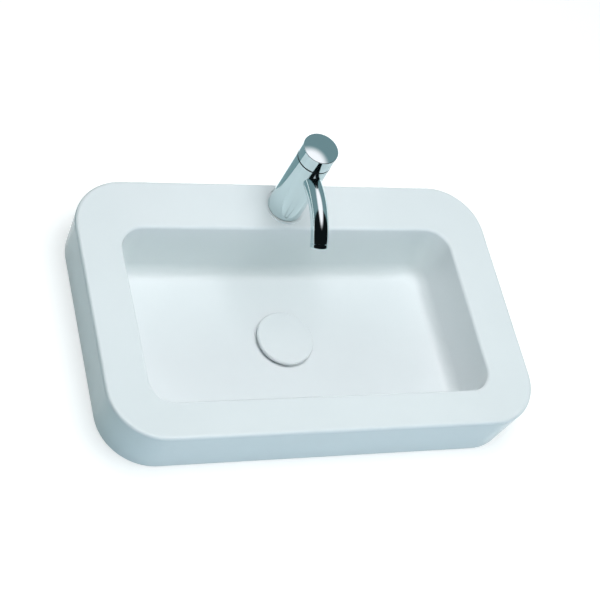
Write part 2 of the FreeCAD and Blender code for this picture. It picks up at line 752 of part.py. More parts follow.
def make_horseshoe(bottom, top):
    """A round plate with a slot from its front, for the hoses, and a hole for the stud."""
    apron_room = back_rim / 2 - ceramic_wall - face_lean * (rim_z - washer_z) / basin_height
    radius = apron_room - horseshoe_gap
    plate = cylinder(radius, bottom, top, tap)
    slot_end = stud_offset - stud_radius - horseshoe_web
    slot = box(tap + Vector(-horseshoe_slot / 2, -radius - margin, bottom - margin),
               tap + Vector(horseshoe_slot / 2, slot_end, top + margin))
    return plate.cut(slot).cut(cylinder(stud_radius + seat_clearance, bottom - margin, top + margin, stud))


def fixing_nodes():
    """The stud and what clamps the tap to the ledge."""
    nut = hexagon(fixing_nut_flats, fixing_nut_z, washer_z, stud)
    bore = cylinder(stud_radius + thread_clearance, fixing_nut_z - margin, washer_z + margin, stud)
    return {
        "fixing_stud": cylinder(stud_radius, fixing_nut_z - stud_tail, foot_roof_z + stud_grip, stud),
        "horseshoe_gasket": make_horseshoe(gasket_z, ledge_under_z),
        "horseshoe_washer": make_horseshoe(washer_z, gasket_z),
        "fixing_nut": nut.cut(bore),
    }


def main():
    """Make every piece and write it to its own file."""
    nodes = {"basin": make_basin()}
    nodes.update(waste_nodes())
    nodes.update(tap_nodes())
    nodes.update(aerator_nodes())
    nodes.update(fixing_nodes())
    os.makedirs("parts", exist_ok=True)
    for name, shape in nodes.items():
        if not shape.isValid() or not shape.Solids:
            raise ValueError("bad solid: " + name)
        shape.exportStep("parts/" + name + ".step")
        print(name, len(shape.Solids), round(shape.Volume / 1000, 2), "cm3")


main()
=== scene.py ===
import math

import bpy
from bpy.props import FloatProperty, FloatVectorProperty, PointerProperty
from mathutils import Matrix, Vector


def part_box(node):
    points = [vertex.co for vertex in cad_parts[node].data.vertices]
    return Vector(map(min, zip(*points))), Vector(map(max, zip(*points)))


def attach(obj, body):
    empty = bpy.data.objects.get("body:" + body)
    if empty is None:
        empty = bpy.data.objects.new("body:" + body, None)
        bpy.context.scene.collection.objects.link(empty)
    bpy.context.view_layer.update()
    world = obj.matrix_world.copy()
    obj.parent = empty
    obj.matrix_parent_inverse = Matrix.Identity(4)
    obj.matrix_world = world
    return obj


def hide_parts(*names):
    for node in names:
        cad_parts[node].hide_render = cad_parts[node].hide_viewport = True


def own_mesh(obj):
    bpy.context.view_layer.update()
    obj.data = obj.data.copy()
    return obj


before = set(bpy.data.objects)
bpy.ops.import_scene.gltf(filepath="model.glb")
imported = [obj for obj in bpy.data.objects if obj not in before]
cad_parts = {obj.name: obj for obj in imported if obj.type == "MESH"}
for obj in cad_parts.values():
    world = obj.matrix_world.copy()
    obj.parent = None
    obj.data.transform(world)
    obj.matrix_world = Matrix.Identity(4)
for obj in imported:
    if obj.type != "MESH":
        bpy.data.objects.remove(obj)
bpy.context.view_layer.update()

bl_info = {
    "name": "Countertop basin looks",
    "version": (1, 0, 0),
    "blender": (4, 5, 0),
    "location": "View3D > Sidebar > Basin",
    "description": "Finishes, detailed fittings and a studio for the countertop basin",
    "category": "Object",
}

TAP_AXIS = (0.0, 0.15325)    # x and y of the tap's axis
DRAIN_AXIS = (0.0, 0.0)
SEEN_RAYS = ("Is Camera Ray", "Is Glossy Ray", "Is Transmission Ray")

SIDES = 72                   # of a turned piece
WIRE_SIDES = 14
SEAM = 2e-6                  # points closer than this are one
CUT_SEAM = SEAM / 10         # the same for a level cut
LAP = 0.0002                 # overlap of pieces that are joined
LEAD_TURNS = 2               # turns of a helix that are cut away below its piece
SPARE_TURNS = 1              # turns of a helix that are cut away above it
SMOOTH_ANGLE = math.radians(25.0)
SPIDER_ARMS = 3
NUT_SIDES = 6
NUT_TURN = math.radians(30.0)     # puts a nut's corners on X
NUT_CHAMFER = math.radians(30.0)  # slope of a nut's chamfers
NUT_FACE = 0.97              # radius of a nut's flat face, as a share of half its width
NUT_SINK = 0.04              # depth of a nut's countersink, as the same share
STUD_DEPTH = 0.6134          # of a metric thread, as a share of its pitch
# One tooth of each thread: how deep below the crest, and how far up the pitch
PIPE_TOOTH = ((1.0, 0.0), (0.91, 0.1), (0.09, 0.4), (0.0, 0.5), (0.09, 0.6), (0.91, 0.9), (1.0, 1.0))
STUD_TOOTH = ((1.0, 0.0), (1.0, 0.125), (0.0, 0.4375), (0.0, 0.5625), (1.0, 0.875), (1.0, 1.0))

WHITE = (1.0, 1.0, 1.0, 1.0)
BLACK = (0.006, 0.008, 0.009, 1.0)
PALE_CLAY = (0.7, 0.66, 0.58, 1.0)
CLAY_SPECKS = (0.42, 0.36, 0.3, 1.0)
CLAY_HEIGHT = 0.0008         # of the bare clay on the foot
CLAY_WAVER = 0.0006          # added to that height by the glaze's ripple
CLAY_BOTTOM = -0.001         # below this the bowl's underside is glazed
FACING_DOWN = -0.96          # highest z of a normal on the foot
DRIED_DROPS = (0.72, 0.74, 0.74, 1.0)
BRASS = ((0.72, 0.52, 0.25), (0.5, 0.33, 0.14))  # clean and stained
STEEL = ((0.6, 0.6, 0.6), (0.42, 0.41, 0.4))     # clean and stained
LATHE_RINGS = 9000.0         # on turned metal, in radians to the metre
# Each moulded finish: colour, bloom, roughness, grains to the metre and the nodes that take it
MOULDED = {
    "white_nylon": ((0.8, 0.8, 0.77), (0.74, 0.73, 0.69), 0.35, 900.0,
                    ("cartridge_housing", "handle_insert", "aerator_insert", "aerator_screen",
                     "slip_washer")),
    "dark_nylon": ((0.012, 0.013, 0.014), (0.02, 0.021, 0.022), 0.4, 900.0, ("slip_ring",)),
    "lapped_ceramic": ((0.82, 0.8, 0.72), (0.78, 0.75, 0.66), 0.2, 1600.0, ("fixed_disc", "moving_disc")),
    "black_rubber": ((0.014, 0.014, 0.015), (0.03, 0.03, 0.03), 0.55, 1200.0,
                     ("flange_seal", "hub_seal", "base_seal", "cartridge_seals", "stem_ring", "aerator_seal",
                      "plug_seal", "horseshoe_gasket")),
}

LAMP_TARGET = (0.0, 0.001, 0.04)
# Each soft box: its power's setting, place, width, depth and colour
SOFT_BOXES = {
    "overhead_box": ("overhead", (0.0, 0.0, 1.56), 1.1, 1.1, (0.965, 0.98, 1.0)),
    "front_box": ("front", (0.0, -1.8, 0.96), 1.1, 0.8, (0.55, 1.0, 0.98)),
    "low_box": ("low", (0.0, -2.0, 0.17), 1.6, 0.3, (0.8, 0.75, 1.0)),
    "right_box": ("side", (1.8, 0.0, 0.96), 1.1, 0.8, (0.95, 1.0, 1.0)),
    "back_box": ("back", (0.5, 2.0, 0.2), 1.6, 0.3, (1.0, 0.97, 0.95)),
}
CUT_OUT = (0.524, 0.31, 1.0)  # the floor's opening, which the bowl sinks through
FLOOR_REACH = 60.0           # the floor's width
FLOOR_HEIGHT = -0.0003
FLOOR_SEEN = (0.6, 0.6, 0.6, 1.0)
FLOOR_THROWN = (0.42, 0.58, 0.6, 1.0)  # the floor's colour in the light it throws back
FLOOR_FAR = (1.2, 3.0)       # distances between which the floor's glow grows
NEAR_GLOW = 0.62
FAR_GLOW = 0.36              # added to the floor's glow far off
TENT_RADIUS = 4.0
TENT_SIDES = 48
TENT_FOOT = -0.2             # height of the tent's open edge
DARK_EDGE = (-0.18, -0.06)   # how far in front the tent's black begins, and where it is full
DARK_LEAN = 0.2              # how much the black draws to the front as it climbs
TOP_GLOW = 0.4               # extra light of the tent's white top
CARD_SIZE = 0.79
CARD_PLACE = (-0.42, 0.585, 0.001)
CARD_GLOW = 1.15
SKIRT_SIDES = 96
SKIRT_HEIGHT = 0.001
SENSOR_WIDTH = 36.0          # millimetres
VIEW_END = 100.0             # metres that the camera sees


class Value:
    """A node's output that Python's operators work on, each adding a Math node."""

    def __init__(self, finish, socket):
        self.finish = finish
        self.socket = socket

    def maths(self, operation, *terms):
        """A Math node of that operation on these terms."""
        return self.finish.node("ShaderNodeMath", {"operation": operation}, dict(enumerate(terms)))

    def __add__(self, other):
        return self.maths("ADD", self, other)

    __radd__ = __add__

    def __sub__(self, other):
        return self.maths("SUBTRACT", self, other)

    def __rsub__(self, other):
        return self.maths("SUBTRACT", other, self)

    def __mul__(self, other):
        return self.maths("MULTIPLY", self, other)

    __rmul__ = __mul__

    def __truediv__(self, other):
        return self.maths("DIVIDE", self, other)

    def __rtruediv__(self, other):
        return self.maths("DIVIDE", other, self)

    def __pow__(self, other):
        return self.maths("POWER", self, other)

    def __gt__(self, other):
        return self.maths("GREATER_THAN", self, other)

    def __lt__(self, other):
        return self.maths("LESS_THAN", self, other)

    def sine(self):
        """The sine of the value, in radians."""
        return self.maths("SINE", self)

    def step(self, low, high):
        """A smooth climb from 0 at low to 1 at high."""
        settings = {"interpolation_type": "SMOOTHSTEP"}
        return self.finish.node("ShaderNodeMapRange", settings, {0: self, 1: low, 2: high})


class Finish:
    """A node tree with one method that adds nodes, and the few readings that the finishes share."""

    def __init__(self, name, owner=None):
        self.owner = owner or bpy.data.materials.new(name)
        self.owner.use_nodes = True
        self.tree = self.owner.node_tree
        self.tree.nodes.clear()

    def node(self, kind, settings=None, inputs=None, output=0):
        """Add a node, give it its settings and then its sockets' values or links."""
        made = self.tree.nodes.new(kind)
        for key, value in (settings or {}).items():
            setattr(made, key, value)
        for key, value in (inputs or {}).items():
            if isinstance(value, Value):
                self.tree.links.new(value.socket, made.inputs[key])
            else:
                made.inputs[key].default_value = value
        return Value(self, made.outputs[output]) if made.outputs else None

    def place(self):
        """Object coordinates, in metres."""
        return self.node("ShaderNodeTexCoord", output="Object")

    def parts(self, vector):
        """The x, y and z of a vector."""
        split = self.node("ShaderNodeSeparateXYZ", inputs={0: vector})
        outputs = split.socket.node.outputs
        return [Value(self, outputs[index]) for index in range(3)]

    def noise(self, vector, scale, detail=3.0, rough=0.5):
        """Soft cloudy noise from 0 to 1, scale cells to the metre."""
        inputs = {"Vector": vector, "Scale": scale, "Detail": detail, "Roughness": rough}
        return self.node("ShaderNodeTexNoise", {"noise_dimensions": "3D"}, inputs)

    def mix(self, share, first, second):
        """One colour turning into another."""
        return self.node("ShaderNodeMix", {"data_type": "RGBA"}, {0: share, 6: first, 7: second}, 2)

    def seen(self):
        """1 for what the camera sees straight, in gloss or through glass, and 0 for light on the object."""
        rays = self.node("ShaderNodeLightPath").socket.node.outputs
        straight, gloss, through = [Value(self, rays[name]) for name in SEEN_RAYS]
        return straight.maths("MINIMUM", straight + gloss + through, 1.0)

    def bump(self, height, strength, distance):
        """A normal that leans with a height, given in shares of distance."""
        inputs = {"Height": height, "Strength": strength, "Distance": distance}
        return self.node("ShaderNodeBump", inputs=inputs)

    def surface(self, inputs):
        """The shader, joined to the output."""
        shader = self.node("ShaderNodeBsdfPrincipled", inputs=inputs)
        self.node("ShaderNodeOutputMaterial", inputs={"Surface": shader})
        return self.owner


def opaque(colour):
    """A colour with full alpha."""
    return (*colour, 1.0)


class BasinGlaze(bpy.types.PropertyGroup):
    """The ceramic's colours and gloss."""

    colour: FloatVectorProperty(name="Glaze", description="Colour of the white glaze", subtype="COLOR",
                                default=(0.835, 0.855, 0.865))
    thin_colour: FloatVectorProperty(name="Thin glaze", description="Colour where the glaze runs thin",
                                     subtype="COLOR", default=(0.82, 0.84, 0.85))
    clay_colour: FloatVectorProperty(name="Clay", description="Bare clay under the basin", subtype="COLOR",
                                     default=(0.62, 0.57, 0.49))
    gloss: FloatProperty(name="Roughness", description="How dull the glaze is", default=0.16,
                         min=0.0, max=1.0)


class TapMetal(bpy.types.PropertyGroup):
    """The plating on the tap."""

    colour: FloatVectorProperty(name="Chrome", description="Colour of the plating", subtype="COLOR",
                                default=(0.65, 0.76, 0.775))
    gloss: FloatProperty(name="Roughness", description="How dull the plating is", default=0.045,
                         min=0.0, max=1.0)


class FittingSizes(bpy.types.PropertyGroup):
    """Sizes of the waste, its nut and the tap's fixing that their boxes don't give."""

    tail_radius: FloatProperty(name="Tail thread", description="Crest radius of the waste's pipe thread",
                               unit="LENGTH", default=0.020955)
    tail_pitch: FloatProperty(name="Tail pitch", description="Pitch of the pipe thread", unit="LENGTH",
                              default=0.002309)
    tail_depth: FloatProperty(name="Tail depth", description="Depth of the pipe thread", unit="LENGTH",
                              default=0.001479)
    tail_bore: FloatProperty(name="Waste bore", description="Radius of the water's way", unit="LENGTH",
                             default=0.0175)
    mouth: FloatProperty(name="Mouth chamfer", description="Chamfer at the top of the bore", unit="LENGTH",
                         default=0.0025)
    flange_edge: FloatProperty(name="Flange edge", description="Chamfer round the flange", unit="LENGTH",
                               default=0.0004)
    groove_top: FloatProperty(name="Groove", description="Height of the run-out groove's top", unit="LENGTH",
                              default=-0.06)
    groove_width: FloatProperty(name="Groove width", description="Width of the run-out groove", unit="LENGTH",
                                default=0.002)
    groove_depth: FloatProperty(name="Groove depth", description="Depth of the run-out groove", unit="LENGTH",
                                default=0.0012)
    spider_bore: FloatProperty(name="Spider bore", description="Radius of the hole in the spider",
                               unit="LENGTH", default=0.00655)
    spider_wall: FloatProperty(name="Spider wall", description="Wall round that hole", unit="LENGTH",
                               default=0.0035)
    spider_arm: FloatProperty(name="Spider arm", description="Width of the spider's arms", unit="LENGTH",
                              default=0.003)
    spider_top: FloatProperty(name="Spider top", description="Height of the spider's top", unit="LENGTH",
                              default=-0.0425)
    spider_bottom: FloatProperty(name="Spider bottom", description="Height of the spider's bottom",
                                 unit="LENGTH", default=-0.0525)
    locknut_bore: FloatProperty(name="Locknut bore", description="Radius of the locknut's hole",
                                unit="LENGTH", default=0.021055)
    stud_pitch: FloatProperty(name="Stud pitch", description="Pitch of the stud's thread", unit="LENGTH",
                              default=0.00125)
    fixing_bore: FloatProperty(name="Nut bore", description="Radius of the fixing nut's hole", unit="LENGTH",
                               default=0.0041)
    spring_wire: FloatProperty(name="Spring wire", description="Thickness of the spring's wire",
                               unit="LENGTH", default=0.001)
    spring_turns: FloatProperty(name="Spring turns", description="Turns of the spring", default=6.0)
    plug_travel: FloatProperty(name="Plug travel", description="How far the plug is pressed", unit="LENGTH",
                               default=0.004)


class StudioLook(bpy.types.PropertyGroup):
    """The camera and the light round the basin."""

    aim: FloatVectorProperty(name="Aim", description="Point in the middle of the picture",
                             subtype="TRANSLATION", unit="LENGTH", default=(-0.0151, 0.0034, 0.0806))
    distance: FloatProperty(name="Distance", description="From the camera to its aim", unit="LENGTH",
                            default=2.053)
    azimuth: FloatProperty(name="Azimuth", description="Turn of the camera round the basin", subtype="ANGLE",
                           default=math.radians(-42.398))
    elevation: FloatProperty(name="Elevation", description="Climb of the camera above the counter",
                             subtype="ANGLE", default=math.radians(51.948))
    roll: FloatProperty(name="Roll", description="Turn of the camera about its view", subtype="ANGLE",
                        default=math.radians(-35.02))
    lens: FloatProperty(name="Lens", description="Focal length on a 36 mm sensor, in millimetres",
                        default=94.0)
    overhead: FloatProperty(name="Overhead light", description="Power of the soft box above", unit="POWER",
                            default=21.4)
    front: FloatProperty(name="Front light", description="Power of the soft box in front", unit="POWER",
                         default=4.2)
    low: FloatProperty(name="Low light", description="Power of the low strip in front", unit="POWER",
                       default=7.7)
    side: FloatProperty(name="Side light", description="Power of the soft box at the right", unit="POWER",
                        default=1.9)
    back: FloatProperty(name="Back light", description="Power of the low strip behind", unit="POWER",
                        default=8.0)
    fill: FloatProperty(name="Fill", description="Strength of the light from all round", default=0.125)
    fill_colour: FloatVectorProperty(name="Fill colour", description="Colour of the light from all round",
                                     subtype="COLOR", default=(0.5, 0.95, 1.0))
    room_colour: FloatVectorProperty(name="Room", description="Colour of the sides in reflections",
                                     subtype="COLOR", default=(0.22, 0.325, 0.35))
    top_colour: FloatVectorProperty(name="Top", description="Colour of the top in reflections",
                                    subtype="COLOR", default=(1.0, 0.9, 0.925))
    dark_azimuth: FloatProperty(name="Dark front",
                                description="Middle of the black front, turned from the basin's",
                                subtype="ANGLE", default=math.radians(-2.0))
    sheet: FloatProperty(name="Sheet", description="Radius of the white sheet in reflections", unit="LENGTH",
                         default=0.79)
    top_stretch: FloatProperty(name="Top stretch",
                               description="How much narrower the white top is to the sides", default=1.1)
    top_tilt: FloatProperty(name="Top tilt", description="Lean of the white top to the back", subtype="ANGLE",
                            default=math.radians(3.0))
    top_start: FloatProperty(name="Top starts", description="Climb where the white top begins to show",
                             subtype="ANGLE", default=math.radians(54.5))
    top_end: FloatProperty(name="Top full", description="Climb where the white top is full", subtype="ANGLE",
                           default=math.radians(71.5))


def glaze_finish(looks):
    """White glaze: a faint cloud in its colour, a slight orange peel, and bare clay on the foot."""
    finish = Finish("white_glaze")
    place = finish.place()
    height = finish.parts(place)[2]
    normal_z = finish.parts(finish.node("ShaderNodeNewGeometry", output="Normal"))[2]
    clouds = finish.noise(place, scale=9.0, detail=4.0)
    peel = finish.noise(place, scale=420.0, detail=2.0)
    ripple = finish.noise(place, scale=55.0, detail=2.0)
    glaze = finish.mix(clouds.step(0.35, 0.7), opaque(looks.thin_colour), opaque(looks.colour))
    specks = finish.noise(place, scale=900.0, detail=1.0).step(0.72, 0.78)
    grain = finish.noise(place, scale=1500.0)
    clay = finish.mix(grain, opaque(looks.clay_colour), PALE_CLAY)
    clay = finish.mix(specks, clay, CLAY_SPECKS)
    foot = (height < CLAY_HEIGHT + CLAY_WAVER * ripple) * (height > CLAY_BOTTOM)
    bare = (normal_z < FACING_DOWN) * foot
    gloss = looks.gloss + (clouds - 0.5) * 0.05 + (peel - 0.5) * 0.02
    relief = peel * 0.35 + ripple * 0.65 + bare * grain * 3.0
    return finish.surface({
        "Base Color": finish.mix(bare, glaze, clay),
        "Roughness": gloss * (1 - bare) + bare * 0.85,
        "IOR": 1.5,
        "Normal": finish.bump(relief, strength=0.12, distance=0.0006),
    })


def chrome_finish(looks):
    """Polished plating with faint wiping marks and a few dried drops."""
    finish = Finish("polished_chrome")
    place = finish.place()
    smear = finish.noise(place, scale=70.0, detail=4.0, rough=0.6)
    fine = finish.noise(place, scale=700.0)
    cells = finish.node("ShaderNodeTexVoronoi", {"feature": "F1"}, {"Vector": place, "Scale": 260.0})
    drops = (1 - cells.step(0.1, 0.2)) * smear.step(0.55, 0.7)
    gloss = looks.gloss + smear.step(0.4, 0.8) * 0.03 + drops * 0.06
    tint = finish.mix(drops * 0.4, opaque(looks.colour), DRIED_DROPS)
    return finish.surface({
        "Base Color": tint,
        "Metallic": 1.0,
        "Roughness": gloss,
        "Normal": finish.bump(fine * 0.3 + smear * 0.7, strength=0.03, distance=0.0003),
    })


def turned_finish(name, metal, axis, gloss):
    """Bare metal off a lathe: fine rings round an axis, with dull stains."""
    clean, stained = metal
    finish = Finish(name)
    place = finish.place()
    x, y, z = finish.parts(place)
    radius = ((x - axis[0]) ** 2.0 + (y - axis[1]) ** 2.0) ** 0.5
    rings = ((radius + z) * LATHE_RINGS).sine() * 0.5 + 0.5
    stain = finish.noise(place, scale=120.0, detail=5.0, rough=0.6)
    shade = finish.mix(stain.step(0.45, 0.75), opaque(clean), opaque(stained))
    return finish.surface({
        "Base Color": shade,
        "Metallic": 1.0,
        "Roughness": gloss + stain * 0.2 + rings * 0.05,
        "Normal": finish.bump(rings * 0.5 + stain, strength=0.08, distance=0.0003),
    })


def moulded_finish(name, colour, shade, gloss, grain_scale):
    """Moulded plastic or rubber: a fine grain and a faint bloom."""
    finish = Finish(name)
    place = finish.place()
    grain = finish.noise(place, scale=grain_scale)
    bloom = finish.noise(place, scale=60.0, detail=4.0)
    return finish.surface({
        "Base Color": finish.mix(bloom.step(0.4, 0.75), opaque(colour), opaque(shade)),
        "Roughness": gloss + grain * 0.15 + bloom * 0.1,
        "Normal": finish.bump(grain, strength=0.15, distance=0.0003),
    })


def dress(material, *nodes):
    """Give CAD nodes a finish."""
    for node in nodes:
        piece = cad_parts[node]
        for slot in piece.material_slots:
            slot.material = material


def begin(name, add, **settings):
    """Add a primitive with nothing else selected, and open it in edit mode with all of it selected."""
    bpy.ops.object.select_all(action="DESELECT")
    add(**settings)
    piece = bpy.context.object
    piece.name = name
    bpy.ops.object.mode_set(mode="EDIT")
    bpy.ops.mesh.select_all(action="SELECT")
    return piece


def close():
    """Merge the seams of the open mesh, point its faces outwards and leave edit mode."""
    bpy.ops.mesh.select_all(action="SELECT")
    bpy.ops.mesh.remove_doubles(threshold=SEAM)
    bpy.ops.mesh.normals_make_consistent(inside=False)
    bpy.ops.object.mode_set(mode="OBJECT")


def turned(name, section, hollow):
    """Draw a circle out from corner to corner of a section, each a radius and a height about Z."""
    radius, height = section[0]
    cap = "NOTHING" if hollow else "NGON"
    piece = begin(name, bpy.ops.mesh.primitive_circle_add, vertices=SIDES, radius=radius, fill_type=cap)
    bpy.ops.transform.translate(value=(0.0, 0.0, height))
    for corner in section[1:] + (section[:1] if hollow else []):
        climb = corner[1] - height
        bpy.ops.mesh.extrude_region_move(TRANSFORM_OT_translate={"value": (0.0, 0.0, climb)})
        share = corner[0] / radius
        bpy.ops.transform.resize(value=(share, share, 1.0), center_override=(0.0, 0.0, corner[1]))
        radius, height = corner
    close()
    return piece


def combine(piece, tool, operation):
    """Join a tool to a piece, cut it out or keep what both share, and delete the tool."""
    step = piece.modifiers.new("combine", "BOOLEAN")
    step.operation = operation
    step.solver = "EXACT"
    step.object = tool
    bpy.context.view_layer.objects.active = piece
    bpy.ops.object.modifier_apply(modifier=step.name)
    bpy.data.objects.remove(tool)


def sweep_up(piece, bottom, top, pitch):
    """Sweep a section, drawn the lead turns below the bottom, up a helix, and cut both ends level."""
    bpy.ops.object.mode_set(mode="OBJECT")
    sweep = piece.modifiers.new("sweep", "SCREW")
    sweep.screw_offset = pitch
    sweep.iterations = math.ceil((top - bottom) / pitch) + LEAD_TURNS + SPARE_TURNS
    sweep.steps = SIDES
    sweep.render_steps = SIDES
    bpy.ops.object.modifier_apply(modifier=sweep.name)
    bpy.ops.object.mode_set(mode="EDIT")
    bpy.ops.mesh.select_all(action="SELECT")
    bpy.ops.mesh.remove_doubles(threshold=SEAM)
    for height, lower in ((bottom, True), (top, False)):
        bpy.ops.mesh.select_all(action="SELECT")
        bpy.ops.mesh.bisect(plane_co=(0.0, 0.0, height), plane_no=(0.0, 0.0, 1.0), use_fill=True,
                            clear_inner=lower, clear_outer=not lower, threshold=CUT_SEAM)
    close()


def threaded_rod(name, bottom, top, pitch, tooth):
    """A solid rod with a thread, whose tooth is drawn over one pitch as radii and heights."""
    piece = begin(name, bpy.ops.mesh.primitive_plane_add, size=pitch)
    bpy.ops.mesh.merge(type="CENTER")
    bpy.ops.transform.translate(value=(tooth[0][0], 0.0, bottom - LEAD_TURNS * pitch))
    for first, second in zip(tooth, tooth[1:]):
        run = (second[0] - first[0], 0.0, second[1] - first[1])
        bpy.ops.mesh.extrude_region_move(TRANSFORM_OT_translate={"value": run})
    sweep_up(piece, bottom, top, pitch)
    return piece


def pointed(radius, bottom, top, chamfer):
    """A plain bar with both ends chamfered, to trim the ends of a thread with."""
    return turned("trim", [(radius - chamfer, bottom), (radius + LAP, bottom + chamfer + LAP),
                           (radius + LAP, top - chamfer - LAP), (radius - chamfer, top)], False)


def move_in_mesh(piece, x, y):
    """Carry a piece's mesh to an axis, with its object left at the origin."""
    bpy.context.view_layer.objects.active = piece
    bpy.ops.object.mode_set(mode="EDIT")
    bpy.ops.mesh.select_all(action="SELECT")
    bpy.ops.transform.translate(value=(x, y, 0.0))
    bpy.ops.object.mode_set(mode="OBJECT")


def fit(piece, node, material):
    """Smooth a finished piece and put it in its node's place on the basin."""
    bpy.ops.object.select_all(action="DESELECT")
    piece.select_set(True)
    bpy.context.view_layer.objects.active = piece
    bpy.ops.object.mode_set(mode="EDIT")
    close()
    bpy.ops.object.shade_smooth_by_angle(angle=SMOOTH_ANGLE)
    piece.data.materials.clear()
    piece.data.materials.append(bpy.data.materials[material])
    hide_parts(node)
    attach(piece, "basin")


def hexagon_nut(name, node, bore):
    """A six-sided nut with its corners turned off at both ends and its hole countersunk."""
    low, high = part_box(node)
    axis_x, axis_y = (low[0] + high[0]) / 2, (low[1] + high[1]) / 2
    corner, flat = (high[0] - low[0]) / 2, (high[1] - low[1]) / 2
    bottom, top = low[2], high[2]
    piece = begin(name, bpy.ops.mesh.primitive_cylinder_add, vertices=NUT_SIDES, radius=corner,
                  depth=top - bottom)
    bpy.ops.transform.rotate(value=NUT_TURN, orient_axis="Z", center_override=(0.0, 0.0, 0.0))
    bpy.ops.transform.translate(value=(0.0, 0.0, (bottom + top) / 2))
    close()
    edge = NUT_FACE * flat
    wide = corner + LAP
    slope = (wide - edge) * math.tan(NUT_CHAMFER)
    trim = turned("trim", [(edge, bottom), (wide, bottom + slope), (wide, top - slope), (edge, top)], False)
    combine(piece, trim, "INTERSECT")
    sink = NUT_SINK * flat
    hole = turned("hole", [(bore + 2 * sink, bottom - sink), (bore, bottom + sink), (bore, top - sink),
                           (bore + 2 * sink, top + sink)], False)
    combine(piece, hole, "DIFFERENCE")
    move_in_mesh(piece, axis_x, axis_y)
    return piece


class BASIN_OT_waste_body(bpy.types.Operator):
    """Model the waste's flange, threaded tail and spider"""

    bl_idname = "basin.waste_body"
    bl_label = "Model the waste"

    def execute(self, context):
        sizes = context.scene.fitting_sizes
        low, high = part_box("waste_body")
        core = sizes.tail_radius - sizes.tail_depth - LAP
        piece = self.make_blank(sizes, core, low[2], high[2], high[0])
        combine(piece, self.make_thread(sizes, core, low[2]), "UNION")
        for part in self.make_spider(sizes):
            combine(piece, part, "UNION")
        fit(piece, "waste_body", "polished_chrome")
        return {"FINISHED"}

    def make_blank(self, sizes, core, bottom, top, flange):
        """The tube inside the thread, with the neck and the flange."""
        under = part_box("flange_seal")[1][2]
        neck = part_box("flange_seal")[0][2] - sizes.groove_width
        edge = sizes.flange_edge
        return turned("threaded_waste", [
            (sizes.tail_bore, bottom), (core, bottom), (core, neck), (sizes.tail_radius, neck),
            (sizes.tail_radius, under), (flange - edge, under), (flange, under + edge), (flange, top - edge),
            (flange - edge, top), (sizes.tail_bore + sizes.mouth, top), (sizes.tail_bore, top - sizes.mouth),
        ], True)

    def make_thread(self, sizes, core, bottom):
        """The pipe thread as a sleeve, with its run-out groove and a chamfered lower end."""
        crest, pitch, depth = sizes.tail_radius, sizes.tail_pitch, sizes.tail_depth
        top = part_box("flange_seal")[0][2] - sizes.groove_width + LAP
        tooth = [(crest - depth * share, pitch * height) for share, height in PIPE_TOOTH]
        rod = threaded_rod("tail_thread", bottom + 2 * LAP, top, pitch, tooth)
        combine(rod, pointed(crest, bottom, top + depth + 2 * LAP, depth), "INTERSECT")
        groove_low, groove_high = sizes.groove_top - sizes.groove_width, sizes.groove_top
        floor, outside = crest - sizes.groove_depth, crest + depth
        groove = turned("groove", [(floor, groove_low), (outside, groove_low), (outside, groove_high),
                                   (floor, groove_high)], True)
        combine(rod, groove, "DIFFERENCE")
        middle = (sizes.tail_bore + core) / 2
        combine(rod, turned("bore", [(middle, bottom - depth), (middle, top + depth)], False), "DIFFERENCE")
        return rod

    def make_spider(self, sizes):
        """The ring that holds the plug's housing, and the arms that carry it."""
        outer = sizes.spider_bore + sizes.spider_wall
        bottom, top = sizes.spider_bottom, sizes.spider_top
        hub = turned("spider_hub", [(sizes.spider_bore, bottom), (outer, bottom), (outer, top),
                                    (sizes.spider_bore, top)], True)
        start, end = sizes.spider_bore + sizes.spider_wall / 2, sizes.tail_bore + LAP * 4
        parts = [hub]
        for number in range(SPIDER_ARMS):
            arm = begin("spider_arm", bpy.ops.mesh.primitive_cube_add, size=1.0)
            bpy.ops.transform.resize(value=(end - start, sizes.spider_arm, top - bottom))
            bpy.ops.transform.translate(value=((start + end) / 2, 0.0, (bottom + top) / 2))
            bpy.ops.mesh.bevel(offset=LAP * 2, segments=2)
            bpy.ops.transform.rotate(value=2 * math.pi * number / SPIDER_ARMS, orient_axis="Z",
                                     center_override=(0.0, 0.0, 0.0))
            close()
            parts.append(arm)
        return parts


class BASIN_OT_nuts(bpy.types.Operator):
    """Model the waste's locknut and the tap's fixing nut"""

    bl_idname = "basin.nuts"
    bl_label = "Model the nuts"

    def execute(self, context):
        sizes = context.scene.fitting_sizes
        locknut = hexagon_nut("chamfered_locknut", "waste_locknut", sizes.locknut_bore)
        fit(locknut, "waste_locknut", "waste_brass")
        nut = hexagon_nut("chamfered_nut", "fixing_nut", sizes.fixing_bore)
        fit(nut, "fixing_nut", "fixing_steel")
        return {"FINISHED"}


class BASIN_OT_stud(bpy.types.Operator):
    """Model the threaded stud that holds the tap"""

    bl_idname = "basin.stud"
    bl_label = "Model the stud"

    def execute(self, context):
        low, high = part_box("fixing_stud")
        pitch = context.scene.fitting_sizes.stud_pitch
        crest = (high[0] - low[0]) / 2
        depth = pitch * STUD_DEPTH
        tooth = [(crest - depth * share, pitch * height) for share, height in STUD_TOOTH]
        piece = threaded_rod("threaded_stud", low[2] - pitch, high[2] + pitch, pitch, tooth)
        combine(piece, pointed(crest, low[2], high[2], depth + LAP), "INTERSECT")
        move_in_mesh(piece, (low[0] + high[0]) / 2, (low[1] + high[1]) / 2)
        fit(piece, "fixing_stud", "fixing_steel")
        return {"FINISHED"}


